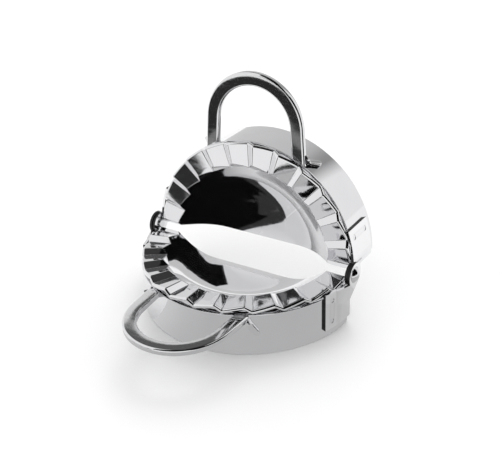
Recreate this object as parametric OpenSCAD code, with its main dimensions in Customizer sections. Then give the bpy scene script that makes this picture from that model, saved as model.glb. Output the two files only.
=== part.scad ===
// Hinged empanada press in polished steel sheet: two identical half moulds on one hinge line.
// Each half is a stamped plate with a half bowl and a pleated rim, a half-round cutter wall,
// a U-shaped handle and two hinge straps. Two rivets join the straps.
// Every piece is drawn in the frame of a half lying flat: the hinge line runs along X over y = 0,
// the half reaches towards -Y, its cutting edge is at z = 0 and its press face looks up.

/* [Hinge] */
// Angle between the two press faces: 0 is shut, 180 is flat open
open_angle = 92; // [85:1:180]
// Distance from each mean press face to the hinge line
face_gap = 1.3; // [0.8:0.1:2]
// Distance from the hinge line back to the cut end of each half
end_gap = 1; // [0.6:0.1:2]

/* [Press plate] */
// Outer radius of the pleated rim
rim_r = 47.5; // [40:0.5:60]
// Width of the pleated rim
rim_w = 9.4; // [7:0.1:12]
// Height of the mean press face above the cutting edge
face_h = 22.5; // [18:0.5:30]
// Thickness of the plate
plate_t = 0.8; // [0.5:0.1:1]
// Pleats on one half
pleats = 12; // [8:1:18]
// Height of one pleat from its low edge to its high edge
pleat_h = 2; // [1.2:0.1:2.4]
// Share of each pleat taken by its quick drop
pleat_drop = 0.26; // [0.15:0.01:0.4]
// Width of the sloping step at the inner edge of the rim
step_w = 1; // [0.6:0.1:1.6]
// Depth of the bowl floor below the mean press face
bowl_depth = 8.8; // [6:0.1:12]
// Slope of the flank of the bowl
flank_angle = 36; // [28:1:40]
// Radius of the curve between the bowl floor and its flank
bowl_curve = 25.7; // [12:0.1:32]
// Height of the turned-down outer lip below the low pleat edges
lip_h = 2.4; // [1.8:0.1:4]

/* [Cutter wall] */
// Thickness of the wall
wall_t = 0.8; // [0.5:0.1:1]
// Outer radius of the shoulder rolled in at the top of the wall
shoulder_r = 1; // [0.9:0.05:2]
// Clearance between the rolled shoulder and the rim of the plate
seat_gap = 0.05; // [0.03:0.01:0.2]

/* [Hinge straps] */
// Thickness of the straps
strap_t = 1.2; // [0.8:0.1:1.5]
// Length of a strap round the wall, from the hinge end
strap_len = 17.6; // [14:0.5:24]
// Height of the lower edge of a strap above the cutting edge
strap_foot = 4; // [2:0.5:8]
// Radius of the eye on the straps of the upper half, which run inside
inner_eye_r = 5; // [4.5:0.1:6]
// Radius of the eye on the straps of the lower half, which run outside
outer_eye_r = 5.4; // [4.6:0.1:7]
// Height of the root of an eye below the hinge line
eye_root = 9.8; // [8:0.5:14]
// Distance from the hinge line to the root of an inner eye
inner_root = 3; // [2:0.5:5]
// Distance from the top of a strap down to the top of its root
root_drop = 0.3; // [0.2:0.1:1]
// Length of the flattened step that lifts an outer eye over the inner one
joggle_len = 6; // [4:0.5:8]
// Clearance between an inner eye and the cutter walls it swings past
swing_gap = 0.3; // [0.2:0.05:0.5]
// Clearance between the two eyes
eye_gap = 0.25; // [0.1:0.05:0.4]
// Diameter of a spot weld dimple
weld_d = 2.4; // [1.5:0.1:4]
// Depth of a spot weld dimple
weld_depth = 0.15; // [0.1:0.05:0.3]
// Distance of the spot welds from the far end, the top and the foot of a strap
weld_inset = 3.7; // [2.5:0.1:5]

/* [Rivets] */
// Diameter of the rivet shank
rivet_d = 3; // [2:0.1:4]
// Diameter of the domed rivet head
head_d = 7.4; // [6:0.1:9]
// Height of the domed rivet head
head_h = 1.8; // [1:0.1:3]
// Diameter of the closed rivet end inside the hinge
tail_d = 4.2; // [3.5:0.1:4.6]
// Thickness of the closed rivet end
tail_h = 0.8; // [0.5:0.1:1]
// Radial running clearance of the shank in the inner eye
run_gap = 0.05; // [0.03:0.01:0.1]

/* [Handle] */
// Outer radius of the round end of the handle
handle_r = 23.5; // [18:0.5:28]
// Distance from the hinge line to the outermost point of the handle
handle_reach = 79; // [70:0.5:95]
// Angle by which each leg leans outwards towards the wall
handle_splay = 4; // [0:0.5:6]
// Width of the handle bar
bar_w = 6; // [4:0.1:8]
// Thickness of the handle bar
bar_t = 3; // [2:0.1:4]
// Edge radius of the handle bar
bar_edge = 0.9; // [0.5:0.1:1.2]
// Distance from the mean press face down to the top of the handle bar
handle_drop = 2.9; // [2:0.1:6]
// Width of a handle foot
foot_w = 2.6; // [2:0.1:5]
// Length of a handle foot, from the middle of the bar to the centre of its round end
foot_len = 7.8; // [5:0.1:12]
// Angle by which a foot leans outwards from straight down
foot_lean = 35; // [20:1:50]
// Thickness of a handle foot
foot_t = 1.6; // [1.2:0.1:2.4]
// Distance of the middle of a foot from the outer side of its leg
foot_inset = 2; // [1:0.1:3]
// Radius of the bend between a leg and its foot
foot_bend_r = 2.2; // [1.5:0.1:4]

/* [Hidden] */

steel = [0.80, 0.80, 0.82];
fine = 96;
// Length by which a flattened or bent part runs on into the sheet or bar that it grows from
lap = 0.5;

// Hinge line and the rim
hinge_z = face_h + face_gap;
rim_in = rim_r - rim_w;
low_z = face_h - pleat_h / 2;

// Flank of the bowl: a straight cone that runs on into a curve down to the flat floor. The length of
// the cone follows from the fall of the flank, and the radius of the floor from its run
flank_top_r = rim_in - step_w;
flank_top_z = low_z;
floor_z = face_h - bowl_depth;
cone = (flank_top_z - floor_z - bowl_curve * (1 - cos(flank_angle))) / sin(flank_angle);
floor_r = flank_top_r - cone * cos(flank_angle) - bowl_curve * sin(flank_angle);
arc_steps = 6;
arc_profile = [
    for (i = [0:arc_steps])
        let (a = flank_angle * i / arc_steps)
            [floor_r + bowl_curve * sin(a), floor_z + bowl_curve * (1 - cos(a))]
];

// Pleats. The plate is sectioned at the edges of each drop and at even steps up each rise
pitch = 180 / pleats;
drop_half = pitch * pleat_drop / 2;
rise = pitch - 2 * drop_half;
rise_steps = 3;
plate_angles = concat(
    [0],
    [
        for (k = [0:pleats - 1])
            for (i = [0:rise_steps])
                k * pitch + drop_half + rise * i / rise_steps
    ],
    [180]
);

// Cutter wall
wall_r = rim_r + seat_gap + shoulder_r;
wall_h = low_z;

// Straps and eyes, from the wall outwards
strap_r = wall_r + seat_gap;
strap_top = low_z;
root_z = hinge_z - eye_root;
root_top = strap_top - root_drop;
inner_eye_x = wall_r + swing_gap;
outer_eye_x = inner_eye_x + strap_t + eye_gap;
head_x = outer_eye_x + strap_t;
joggle_y = inner_eye_r + eye_gap;
step_y = joggle_y + joggle_len;
strap_angle = strap_len / strap_r * 180 / PI;

// Handle: its round end, and the place where its two legs meet the wall
arc_y = handle_reach - handle_r;
bar_z = face_h - handle_drop;
leg_way = [sin(handle_splay), cos(handle_splay)];
leg_start = [handle_r * cos(handle_splay), -arc_y - handle_r * sin(handle_splay)];
// Distance from a point outside the wall, along a direction in plan, to the end of a leg on the wall
function wall_hit(s, d) =
    let (k = s * d, r = wall_r + 2 * seat_gap)
    -k - sqrt(k * k - s * s + r * r);
leg_end = leg_start + wall_hit(leg_start, leg_way) * leg_way;
foot_angle = atan2(-leg_end[1], leg_end[0] - foot_inset);
end_steps = 24;
corner_steps = 4;

// Where the open model stands: its box is centred on the origin
upper_back = wall_r * cos(180 - open_angle) + hinge_z * sin(180 - open_angle);
back_y = max(upper_back, hinge_z * sin(180 - open_angle) + end_gap);
centre_y = (handle_reach - back_y) / 2;

// ---------------------------------------------------------------- placing

// The lower half stands on its cutting edge
module lower() {
    translate([0, centre_y, 0]) children();
}

// The upper half is the same half turned round and folded up about the hinge line
module upper() {
    translate([0, centre_y, hinge_z])
        rotate([180 - open_angle, 0, 0])
            translate([0, 0, -hinge_z])
                rotate([0, 0, 180])
                    children();
}

// Right-hand pieces are drawn at +X, left-hand pieces are their mirror image
module left() {
    mirror([1, 0, 0]) children();
}

// Everything behind the cut end of a half
module behind_end() {
    big = 4 * rim_r;
    translate([-big / 2, -end_gap, -big / 2]) cube([big, big, big]);
}

// ---------------------------------------------------------------- press plate

// Height of the pleated face at an angle: a slow rise over most of a pitch, then a quick drop
// centred on each multiple of the pitch
function pleat_z(a) =
    let (
        u = a / pitch - floor(a / pitch),
        d = pleat_drop / 2
    )
    pleat_h * (u < d ? -u / (2 * d) : u > 1 - d ? (1 - u) / (2 * d) : (u - 0.5) / (1 - 2 * d));

// Section of the plate at an angle, as [radius, height] points: the upper face from the bowl floor
// out to the lip, then the lower face back to the floor
function plate_section(a) =
    let (z = face_h + pleat_z(a), t = plate_t, slope_t = plate_t / cos(flank_angle))
    concat(
        arc_profile,
        [
            [flank_top_r, flank_top_z],
            [rim_in, z],
            [rim_r - t / 2, z],
            [rim_r, z - t / 2],
            [rim_r, low_z - lip_h],
            [rim_r - t, low_z - lip_h],
            [rim_r - t, z - t],
            [rim_in + t / 2, z - t],
            [flank_top_r + t / 2, flank_top_z - slope_t],
        ],
        [
            for (i = [arc_steps:-1:0])
                let (b = flank_angle * i / arc_steps)
                    arc_profile[i] + t * [sin(b), -cos(b)]
        ]
    );

// The first and the last pitch are squeezed a little, so that the plate ends square at its cut end
function squeezed(a, r) =
    let (cut = asin(end_gap / r))
    a < pitch ? cut + a * (pitch - cut) / pitch
    : a > 180 - pitch ? 180 - squeezed(180 - a, r)
    : a;

// A point of the section placed at its angle
function on_plate(p, a) =
    let (b = squeezed(a, p[0]))
    [p[0] * cos(b), -p[0] * sin(b), p[1]];

module press_plate() {
    columns = len(plate_angles);
    rows = len(plate_section(0));
    points = [
        for (a = plate_angles)
            for (p = plate_section(a))
                on_plate(p, a)
    ];
    last = (columns - 1) * rows;
    skin = [
        for (c = [0:columns - 2])
            for (r = [0:rows - 2])
                let (p = c * rows + r, q = p + rows)
                    each [[p, p + 1, q + 1], [p, q + 1, q]]
    ];
    floor_top = [for (c = [0:columns - 1]) c * rows];
    floor_under = [for (c = [columns - 1:-1:0]) c * rows + rows - 1];
    // The cut end is one flat outline: along the first section, over the floor, and back
    cut_end = concat(
        [for (r = [rows - 1:-1:0]) r],
        [for (r = [0:rows - 1]) last + r]
    );
    polyhedron(points = points, faces = concat(skin, [floor_top, floor_under, cut_end]));
}

// ---------------------------------------------------------------- cutter wall

module wall_profile() {
    translate([wall_r - wall_t, 0]) square([wall_t, wall_h - shoulder_r]);
    translate([wall_r - shoulder_r, wall_h - shoulder_r])
        intersection() {
            difference() {
                circle(r = shoulder_r, $fn = fine);
                circle(r = shoulder_r - wall_t, $fn = fine);
            }
            square(shoulder_r);
        }
}

module cutter_wall() {
    difference() {
        rotate_extrude($fn = fine) wall_profile();
        behind_end();
    }
}

// ---------------------------------------------------------------- hinge straps

// Sheet that lies on the wall from the hinge line to an angle, between two heights
module strap_sheet(to_angle, z_low, z_high) {
    rotate([0, 0, -to_angle])
        translate([0, 0, z_low])
            rotate_extrude(angle = to_angle, $fn = fine)
                translate([strap_r, 0]) square([strap_t, z_high - z_low]);
}

// Outline of an eye seen from outside: a round eye on the hinge line, with a straight lower edge
// that leaves the round at a tangent and runs down to the root
module eye_outline(eye_r, root_y) {
    reach = sqrt(root_y * root_y + eye_root * eye_root);
    touch = atan2(-eye_root, -root_y) + acos(eye_r / reach);
    top = root_top - hinge_z;
    circle(r = eye_r, $fn = fine);
    polygon([
        [-root_y, -eye_root],
        eye_r * [cos(touch), sin(touch)],
        [0, 0],
        [-sqrt(eye_r * eye_r - top * top), top],
        [-root_y, top],
    ]);
}

// Stands an outline drawn as [y, z] about the hinge line upright, as a plate from x to x + t
module upright(x, t) {
    translate([x, 0, hinge_z])
        rotate([90, 0, 90])
            linear_extrude(height = t) children();
}

module rivet_hole(r) {
    translate([wall_r, 0, hinge_z])
        rotate([0, 90, 0])
            cylinder(r = r, h = head_x + head_h - wall_r, $fn = fine);
}

// Two spot welds, one above the other, near the far edge of a strap
module weld_dimples() {
    weld_angle = (strap_len - weld_inset) / strap_r * 180 / PI;
    for (z = [strap_foot + weld_inset, strap_top - weld_inset])
        rotate([0, 0, -weld_angle])
            translate([strap_r + strap_t - weld_depth, 0, z])
                rotate([0, 90, 0])
                    cylinder(d = weld_d, h = strap_t, $fn = fine);
}

// Strap of the upper half: its eye is flat and runs inside
module inner_strap() {
    difference() {
        union() {
            difference() {
                strap_sheet(strap_angle, strap_foot, strap_top);
                behind_end();
            }
            upright(inner_eye_x, strap_t)
                eye_outline(inner_eye_r, inner_root);
        }
        rivet_hole(rivet_d / 2 + run_gap);
        weld_dimples();
    }
}

// Strap of the lower half: its root is flattened and stepped out, and its eye runs outside
module outer_strap() {
    difference() {
        union() {
            difference() {
                strap_sheet(strap_angle, strap_foot, strap_top);
                behind_end();
                // Notch for the stepped-out root
                translate([0, lap - step_y, root_z]) cube([2 * strap_r, step_y, strap_top]);
            }
            joggle();
            upright(outer_eye_x, strap_t)
                eye_outline(outer_eye_r, joggle_y);
        }
        rivet_hole(rivet_d / 2 + seat_gap / 2);
        weld_dimples();
    }
}

// Flat sheet that climbs from the strap to the plane of the outer eye. Its far edge starts inside the
// strap
module joggle() {
    start_y = step_y + 2 * lap;
    start_x = sqrt(strap_r * strap_r - start_y * start_y) + strap_t / 2;
    strap_x = sqrt(strap_r * strap_r - step_y * step_y) + strap_t / 2;
    translate([0, 0, root_z])
        linear_extrude(height = root_top - root_z)
            polygon([
                [start_x, -start_y],
                [strap_x, -step_y],
                [outer_eye_x, -joggle_y],
                [outer_eye_x + strap_t, -joggle_y],
                [strap_x + strap_t, -step_y],
            ]);
}

// ---------------------------------------------------------------- rivets

module rivet() {
    cap_r = (head_d * head_d / 4 + head_h * head_h) / (2 * head_h);
    shank_from = inner_eye_x - run_gap - tail_h;
    translate([0, 0, hinge_z])
        rotate([0, 90, 0])
            rotate_extrude($fn = fine) {
                // Closed end
                translate([0, shank_from]) square([tail_d / 2, tail_h]);
                // Shank, which runs on into the head
                translate([0, shank_from]) square([rivet_d / 2, head_x + head_h / 2 - shank_from]);
                // Domed head
                intersection() {
                    translate([0, head_x + head_h - cap_r]) circle(r = cap_r, $fn = fine);
                    translate([0, head_x]) square([head_d, head_h]);
                }
            }
}

// ---------------------------------------------------------------- handle

// Rounded section of the bar as [outwards, up] points, from its outer side and its top
bar_outline = [
    for (q = [[0, 0, 0], [-1, 0, 90], [-1, -1, 180], [0, -1, 270]])
        for (i = [0:corner_steps])
            let (a = q[2] + 90 * i / corner_steps)
                [
                    q[0] * (bar_w - 2 * bar_edge) - bar_edge + bar_edge * cos(a),
                    q[1] * (bar_t - 2 * bar_edge) - bar_edge + bar_edge * sin(a)
                ]
];

// A section point placed at an angle round the end of the handle, in plan
function bar_point(p, a) = [(handle_r + p[0]) * cos(a), (handle_r + p[0]) * sin(a) - arc_y];

function end_ring(a) = [for (p = bar_outline) [each bar_point(p, a), bar_z + p[1]]];

// The section at the end of a leg: each point runs on along the leg until it meets the wall
function wall_ring(a, d) = [
    for (p = bar_outline)
        let (s = bar_point(p, a))
            [each (s + wall_hit(s, d) * d), bar_z + p[1]]
];

// The bar swept along one leg, round the end and back along the other leg
module bar() {
    turn = 180 - 2 * handle_splay;
    points = concat(
        wall_ring(-handle_splay, leg_way),
        [
            for (i = [0:end_steps])
                each end_ring(-handle_splay - turn * i / end_steps)
        ],
        wall_ring(-handle_splay - turn, [-leg_way[0], leg_way[1]])
    );
    rows = len(bar_outline);
    rings = end_steps + 3;
    skin = [
        for (c = [0:rings - 2])
            for (r = [0:rows - 1])
                let (
                    p = c * rows + r,
                    q = c * rows + (r + 1) % rows
                )
                    each [[p, q + rows, q], [p, p + rows, q + rows]]
    ];
    start_cap = [for (r = [0:rows - 1]) r];
    end_cap = [for (r = [rows - 1:-1:0]) (rings - 1) * rows + r];
    polyhedron(points = points, faces = concat(skin, [start_cap, end_cap]));
}

// Places a piece on the wall under the outer side of a leg: it is drawn with its length along -Y,
// and its thickness runs along +Z from the wall
module on_wall_at_leg() {
    rotate([0, 0, -foot_angle])
        translate([wall_r, 0, bar_z - bar_t / 2])
            rotate([90, 0, 90])
                rotate(foot_lean)
                    children();
}

// A foot lies on the wall: a narrow leaning tab with a round end, cut from a ring round the wall
module handle_foot() {
    intersection() {
        rotate_extrude($fn = fine)
            translate([wall_r + seat_gap, 0]) square([foot_t, face_h]);
        on_wall_at_leg()
            linear_extrude(height = foot_t + foot_w) {
                translate([-foot_w / 2, -foot_len]) square([foot_w, foot_len]);
                translate([0, -foot_len]) circle(d = foot_w, $fn = fine);
            }
    }
}

// Hollow curve between the underside of the leg and the face of its foot
module foot_bend() {
    on_wall_at_leg()
        translate([-foot_w / 2, -bar_t / 2 - foot_bend_r, foot_t - lap])
            rotate([90, 0, 90])
                linear_extrude(height = foot_w)
                    difference() {
                        square([foot_bend_r + bar_t / 2, foot_bend_r + lap]);
                        translate([0, foot_bend_r + lap]) circle(r = foot_bend_r, $fn = fine);
                    }
}

module handle() {
    bar();
    for (side = [0, 1])
        mirror([side, 0, 0]) {
            handle_foot();
            foot_bend();
        }
}

// ---------------------------------------------------------------- nodes

module lower_press_plate() { color(steel) lower() press_plate(); }
module lower_cutter_wall() { color(steel) lower() cutter_wall(); }
module lower_handle() { color(steel) lower() handle(); }
module lower_strap_left() { color(steel) lower() left() outer_strap(); }
module lower_strap_right() { color(steel) lower() outer_strap(); }
module upper_press_plate() { color(steel) upper() press_plate(); }
module upper_cutter_wall() { color(steel) upper() cutter_wall(); }
module upper_handle() { color(steel) upper() handle(); }
// Turning the upper half round swaps its left and right, so its right strap is drawn on the left
module upper_strap_left() { color(steel) upper() inner_strap(); }
module upper_strap_right() { color(steel) upper() left() inner_strap(); }
module rivet_left() { color(steel) lower() left() rivet(); }
module rivet_right() { color(steel) lower() rivet(); }

lower_press_plate();
lower_cutter_wall();
lower_handle();
lower_strap_left();
lower_strap_right();
upper_press_plate();
upper_cutter_wall();
upper_handle();
upper_strap_left();
upper_strap_right();
rivet_left();
rivet_right();
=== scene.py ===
"""Looks of a hinged empanada press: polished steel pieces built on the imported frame.

Each half is drawn in millimetres in the frame of a half lying flat, with the hinge line along X over
y = 0 and the press face up. A fold then puts it where it stands, in metres.
"""

import logging
import math
from dataclasses import dataclass, field
from enum import Enum

import bmesh
import bpy
import numpy as np
from mathutils import Matrix, Vector

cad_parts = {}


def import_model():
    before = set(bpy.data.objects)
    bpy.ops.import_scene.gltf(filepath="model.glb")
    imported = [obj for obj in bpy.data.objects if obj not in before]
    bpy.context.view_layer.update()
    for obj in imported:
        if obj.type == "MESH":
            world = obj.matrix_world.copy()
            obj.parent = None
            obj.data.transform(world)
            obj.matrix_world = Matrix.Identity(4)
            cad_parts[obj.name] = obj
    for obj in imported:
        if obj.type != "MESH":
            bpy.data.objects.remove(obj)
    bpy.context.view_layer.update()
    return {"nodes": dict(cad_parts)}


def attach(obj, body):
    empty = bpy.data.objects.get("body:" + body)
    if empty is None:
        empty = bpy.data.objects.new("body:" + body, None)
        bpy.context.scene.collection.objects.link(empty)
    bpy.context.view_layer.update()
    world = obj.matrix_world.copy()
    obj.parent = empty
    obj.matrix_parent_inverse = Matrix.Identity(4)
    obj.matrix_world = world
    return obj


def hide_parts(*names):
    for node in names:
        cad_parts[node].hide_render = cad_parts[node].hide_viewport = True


MM = 0.001
LOG = logging.getLogger("empanada_press")


class Half(Enum):
    """The two halves of the press, by the name of the body that each one rides on."""

    LOWER = "lower"
    UPPER = "upper"


class Side(Enum):
    """The two ends of the hinge line, by their sign along X."""

    LEFT = -1
    RIGHT = 1


# ---------------------------------------------------------------- sizes shared by the pieces, in millimetres

HINGE_Z = 23.8
WALL_R = 48.55
END_GAP = 1.0


@dataclass(frozen=True)
class Fold:
    """Where the two halves stand, in millimetres and degrees."""

    hinge_z: float = HINGE_Z
    centre_y: float = 26.76
    open_angle: float = 92.0

    def place(self, half: Half) -> Matrix:
        """Gives the matrix from a flat half in millimetres to its place in metres.

        Args:
            half: the half that is placed.

        Returns:
            The matrix for its meshes.
        """
        scale = Matrix.Scale(MM, 4)
        if half is Half.LOWER:
            return scale @ Matrix.Translation((0, self.centre_y, 0))
        turned = Matrix.Rotation(math.radians(180 - self.open_angle), 4, "X")
        return (
            scale
            @ Matrix.Translation((0, self.centre_y, self.hinge_z))
            @ turned
            @ Matrix.Translation((0, 0, -self.hinge_z))
            @ Matrix.Rotation(math.pi, 4, "Z")
        )


# ---------------------------------------------------------------- mesh tools


def shade(mesh: bpy.types.Mesh, sharp_angle: float) -> None:
    """Smooths a mesh and keeps the edges sharper than an angle.

    Args:
        mesh: the mesh.
        sharp_angle: the angle in degrees.
    """
    mesh.shade_smooth()
    mesh.set_sharp_from_angle(angle=math.radians(sharp_angle))


def mend(mesh: bpy.types.Mesh, reach: float = 0.0) -> None:
    """Merges the corners of a mesh that lie together, and turns its faces outwards.

    Args:
        mesh: the mesh in millimetres.
        reach: corners no farther apart than this are merged; 0 merges none.
    """
    work = bmesh.new()
    work.from_mesh(mesh)
    if reach > 0:
        bmesh.ops.remove_doubles(work, verts=work.verts, dist=reach)
    bmesh.ops.recalc_face_normals(work, faces=work.faces)
    work.to_mesh(mesh)
    work.free()


def closed_mesh(name: str, points: np.ndarray, faces: list, sharp_angle: float = 35.0) -> bpy.types.Mesh:
    """Makes a mesh in millimetres, merges its doubles and turns its faces outwards.

    Args:
        name: the mesh's name.
        points: one row for each corner.
        faces: the corners of each face.
        sharp_angle: edges sharper than this many degrees stay sharp.

    Returns:
        The mesh.
    """
    mesh = bpy.data.meshes.new(name)
    mesh.from_pydata([tuple(p) for p in points], [], faces)
    mend(mesh, 1e-5)
    shade(mesh, sharp_angle)
    return mesh


def loop_skin(columns: int, rows: int) -> list:
    """Lists the faces of a tube made of closed rings, with its two ends closed.

    Args:
        columns: the number of rings.
        rows: the corners in a ring.

    Returns:
        The corners of each face.
    """
    faces = []
    for c in range(columns - 1):
        here, there = c * rows, (c + 1) * rows
        for r in range(rows):
            after = (r + 1) % rows
            faces.append((here + r, here + after, there + after, there + r))
    faces.append(tuple(range(rows)))
    faces.append(tuple((columns - 1) * rows + r for r in reversed(range(rows))))
    return faces


def ends_at(plane_y: float, angles: np.ndarray, radius: float, reach: float) -> np.ndarray:
    """Squeezes the first and last angles of a half turn, so that it ends on a straight cut.

    Args:
        plane_y: the distance of the cut from the axis.
        angles: the angles in degrees, from 0 to 180.
        radius: the radius that they are for.
        reach: the angle over which the squeeze fades out.

    Returns:
        The squeezed angles in degrees.
    """
    cut = math.degrees(math.asin(min(1.0, plane_y / radius)))
    near = np.where(angles < reach, cut + angles * (reach - cut) / reach, angles)
    far = 180 - (cut + (180 - angles) * (reach - cut) / reach)
    return np.where(angles > 180 - reach, far, near)


def show(name: str, mesh: bpy.types.Mesh, place: Matrix) -> bpy.types.Object:
    """Puts a mesh drawn in millimetres into the scene, at its place.

    Args:
        name: the object's name.
        mesh: the mesh.
        place: the matrix to the part's frame, in metres.

    Returns:
        The object, at the origin, with its place in its mesh.
    """
    mesh.transform(place)
    if place.to_3x3().determinant() < 0:
        mesh.flip_normals()
    mesh.name = name
    piece = bpy.data.objects.new(name, mesh)
    bpy.context.scene.collection.objects.link(piece)
    return piece


def joined(meshes: list, name: str) -> bpy.types.Mesh:
    """Joins meshes into one.

    Args:
        meshes: the meshes.
        name: the name of the new mesh.

    Returns:
        The joined mesh.
    """
    work = bmesh.new()
    for mesh in meshes:
        work.from_mesh(mesh)
    out = bpy.data.meshes.new(name)
    work.to_mesh(out)
    work.free()
    return out


# ---------------------------------------------------------------- node tools


class NodeSketch:
    """Short calls for building a tree of geometry or shader nodes."""

    def __init__(self, tree: bpy.types.NodeTree) -> None:
        """Takes the tree that is built.

        Args:
            tree: an empty node tree.
        """
        self.tree = tree

    def node(self, kind: str, **settings: object) -> bpy.types.Node:
        """Adds a node.

        Args:
            kind: the node's type name.
            settings: properties of the node.

        Returns:
            The node.
        """
        made = self.tree.nodes.new(kind)
        for key, value in settings.items():
            setattr(made, key, value)
        return made

    def feed(self, socket: bpy.types.NodeSocket, value: object) -> None:
        """Links a socket to an input, or sets its value.

        Args:
            socket: the input socket.
            value: a number, a vector or another node's output.
        """
        if isinstance(value, bpy.types.NodeSocket):
            self.tree.links.new(value, socket)
        else:
            socket.default_value = value

    def math(self, operation: str, *values: object) -> bpy.types.NodeSocket:
        """Adds a sum of numbers.

        Args:
            operation: the name of the sum.
            values: its inputs.

        Returns:
            The result's socket.
        """
        made = self.node("ShaderNodeMath", operation=operation)
        for socket, value in zip(made.inputs, values):
            self.feed(socket, value)
        return made.outputs[0]

    def seen_by_eye(self) -> bpy.types.NodeSocket:
        """Adds the light paths that reach the camera: straight, off the polish or through glass.

        Returns:
            A socket that is 1 on those paths and 0 on all others.
        """
        rays = self.node("ShaderNodeLightPath").outputs
        seen = self.math("ADD", rays["Is Camera Ray"], rays["Is Glossy Ray"])
        return self.math("MINIMUM", self.math("ADD", seen, rays["Is Transmission Ray"]), 1.0)

    def remap(self, value: bpy.types.NodeSocket, source: tuple, target: tuple) -> bpy.types.NodeSocket:
        """Maps a number from one range to another and holds it there.

        Args:
            value: the number.
            source: the lowest and highest number that come in.
            target: the numbers that they become.

        Returns:
            The result's socket.
        """
        made = self.node("ShaderNodeMapRange", clamp=True)
        self.feed(made.inputs["Value"], value)
        for label, number in zip(("From Min", "From Max", "To Min", "To Max"), (*source, *target)):
            made.inputs[label].default_value = number
        return made.outputs["Result"]


class GeometryRecipe(NodeSketch):
    """A Geometry Nodes tree with named inputs, applied to one host mesh and turned into a plain mesh."""

    def __init__(self, name: str, inputs: dict) -> None:
        """Makes the empty tree with its interface.

        Args:
            name: the tree's name.
            inputs: name of each input, with its socket type and value.
        """
        tree = bpy.data.node_groups.new(name, "GeometryNodeTree")
        super().__init__(tree)
        face = tree.interface
        face.new_socket(name="Geometry", in_out="INPUT", socket_type="NodeSocketGeometry")
        face.new_socket(name="Geometry", in_out="OUTPUT", socket_type="NodeSocketGeometry")
        self.values = {}
        for label, (kind, value) in inputs.items():
            item = face.new_socket(name=label, in_out="INPUT", socket_type=kind)
            self.values[item.identifier] = value
        self.source = tree.nodes.new("NodeGroupInput")
        self.sink = tree.nodes.new("NodeGroupOutput")

    def attribute(self, name: str) -> bpy.types.NodeSocket:
        """Reads a number that the host mesh carries at each point.

        Args:
            name: the attribute's name.

        Returns:
            Its socket.
        """
        made = self.node("GeometryNodeInputNamedAttribute", data_type="FLOAT")
        made.inputs["Name"].default_value = name
        return made.outputs["Attribute"]

    def finish_with(self, geometry: bpy.types.NodeSocket) -> None:
        """Ends the tree in Realize Instances and Set Material.

        Args:
            geometry: the geometry that leaves the tree.
        """
        real = self.node("GeometryNodeRealizeInstances")
        dressed = self.node("GeometryNodeSetMaterial")
        self.feed(real.inputs["Geometry"], geometry)
        self.feed(dressed.inputs["Geometry"], real.outputs["Geometry"])
        self.feed(dressed.inputs["Material"], self.source.outputs["Material"])
        self.feed(self.sink.inputs["Geometry"], dressed.outputs["Geometry"])

    def made_from(self, host_mesh: bpy.types.Mesh) -> bpy.types.Mesh:
        """Runs the tree on a host mesh.

        Args:
            host_mesh: the mesh that the tree starts from.

        Returns:
            The plain mesh that comes out.
        """
        host = bpy.data.objects.new("host_" + self.tree.name, host_mesh)
        bpy.context.scene.collection.objects.link(host)
        modifier = host.modifiers.new("recipe", "NODES")
        modifier.node_group = self.tree
        for identifier, value in self.values.items():
            modifier[identifier] = value
        graph = bpy.context.evaluated_depsgraph_get()
        mesh = bpy.data.meshes.new_from_object(host.evaluated_get(graph), depsgraph=graph)
        host.modifiers.remove(modifier)
        bpy.data.objects.remove(host)
        return mesh


# ---------------------------------------------------------------- finishes


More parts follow.
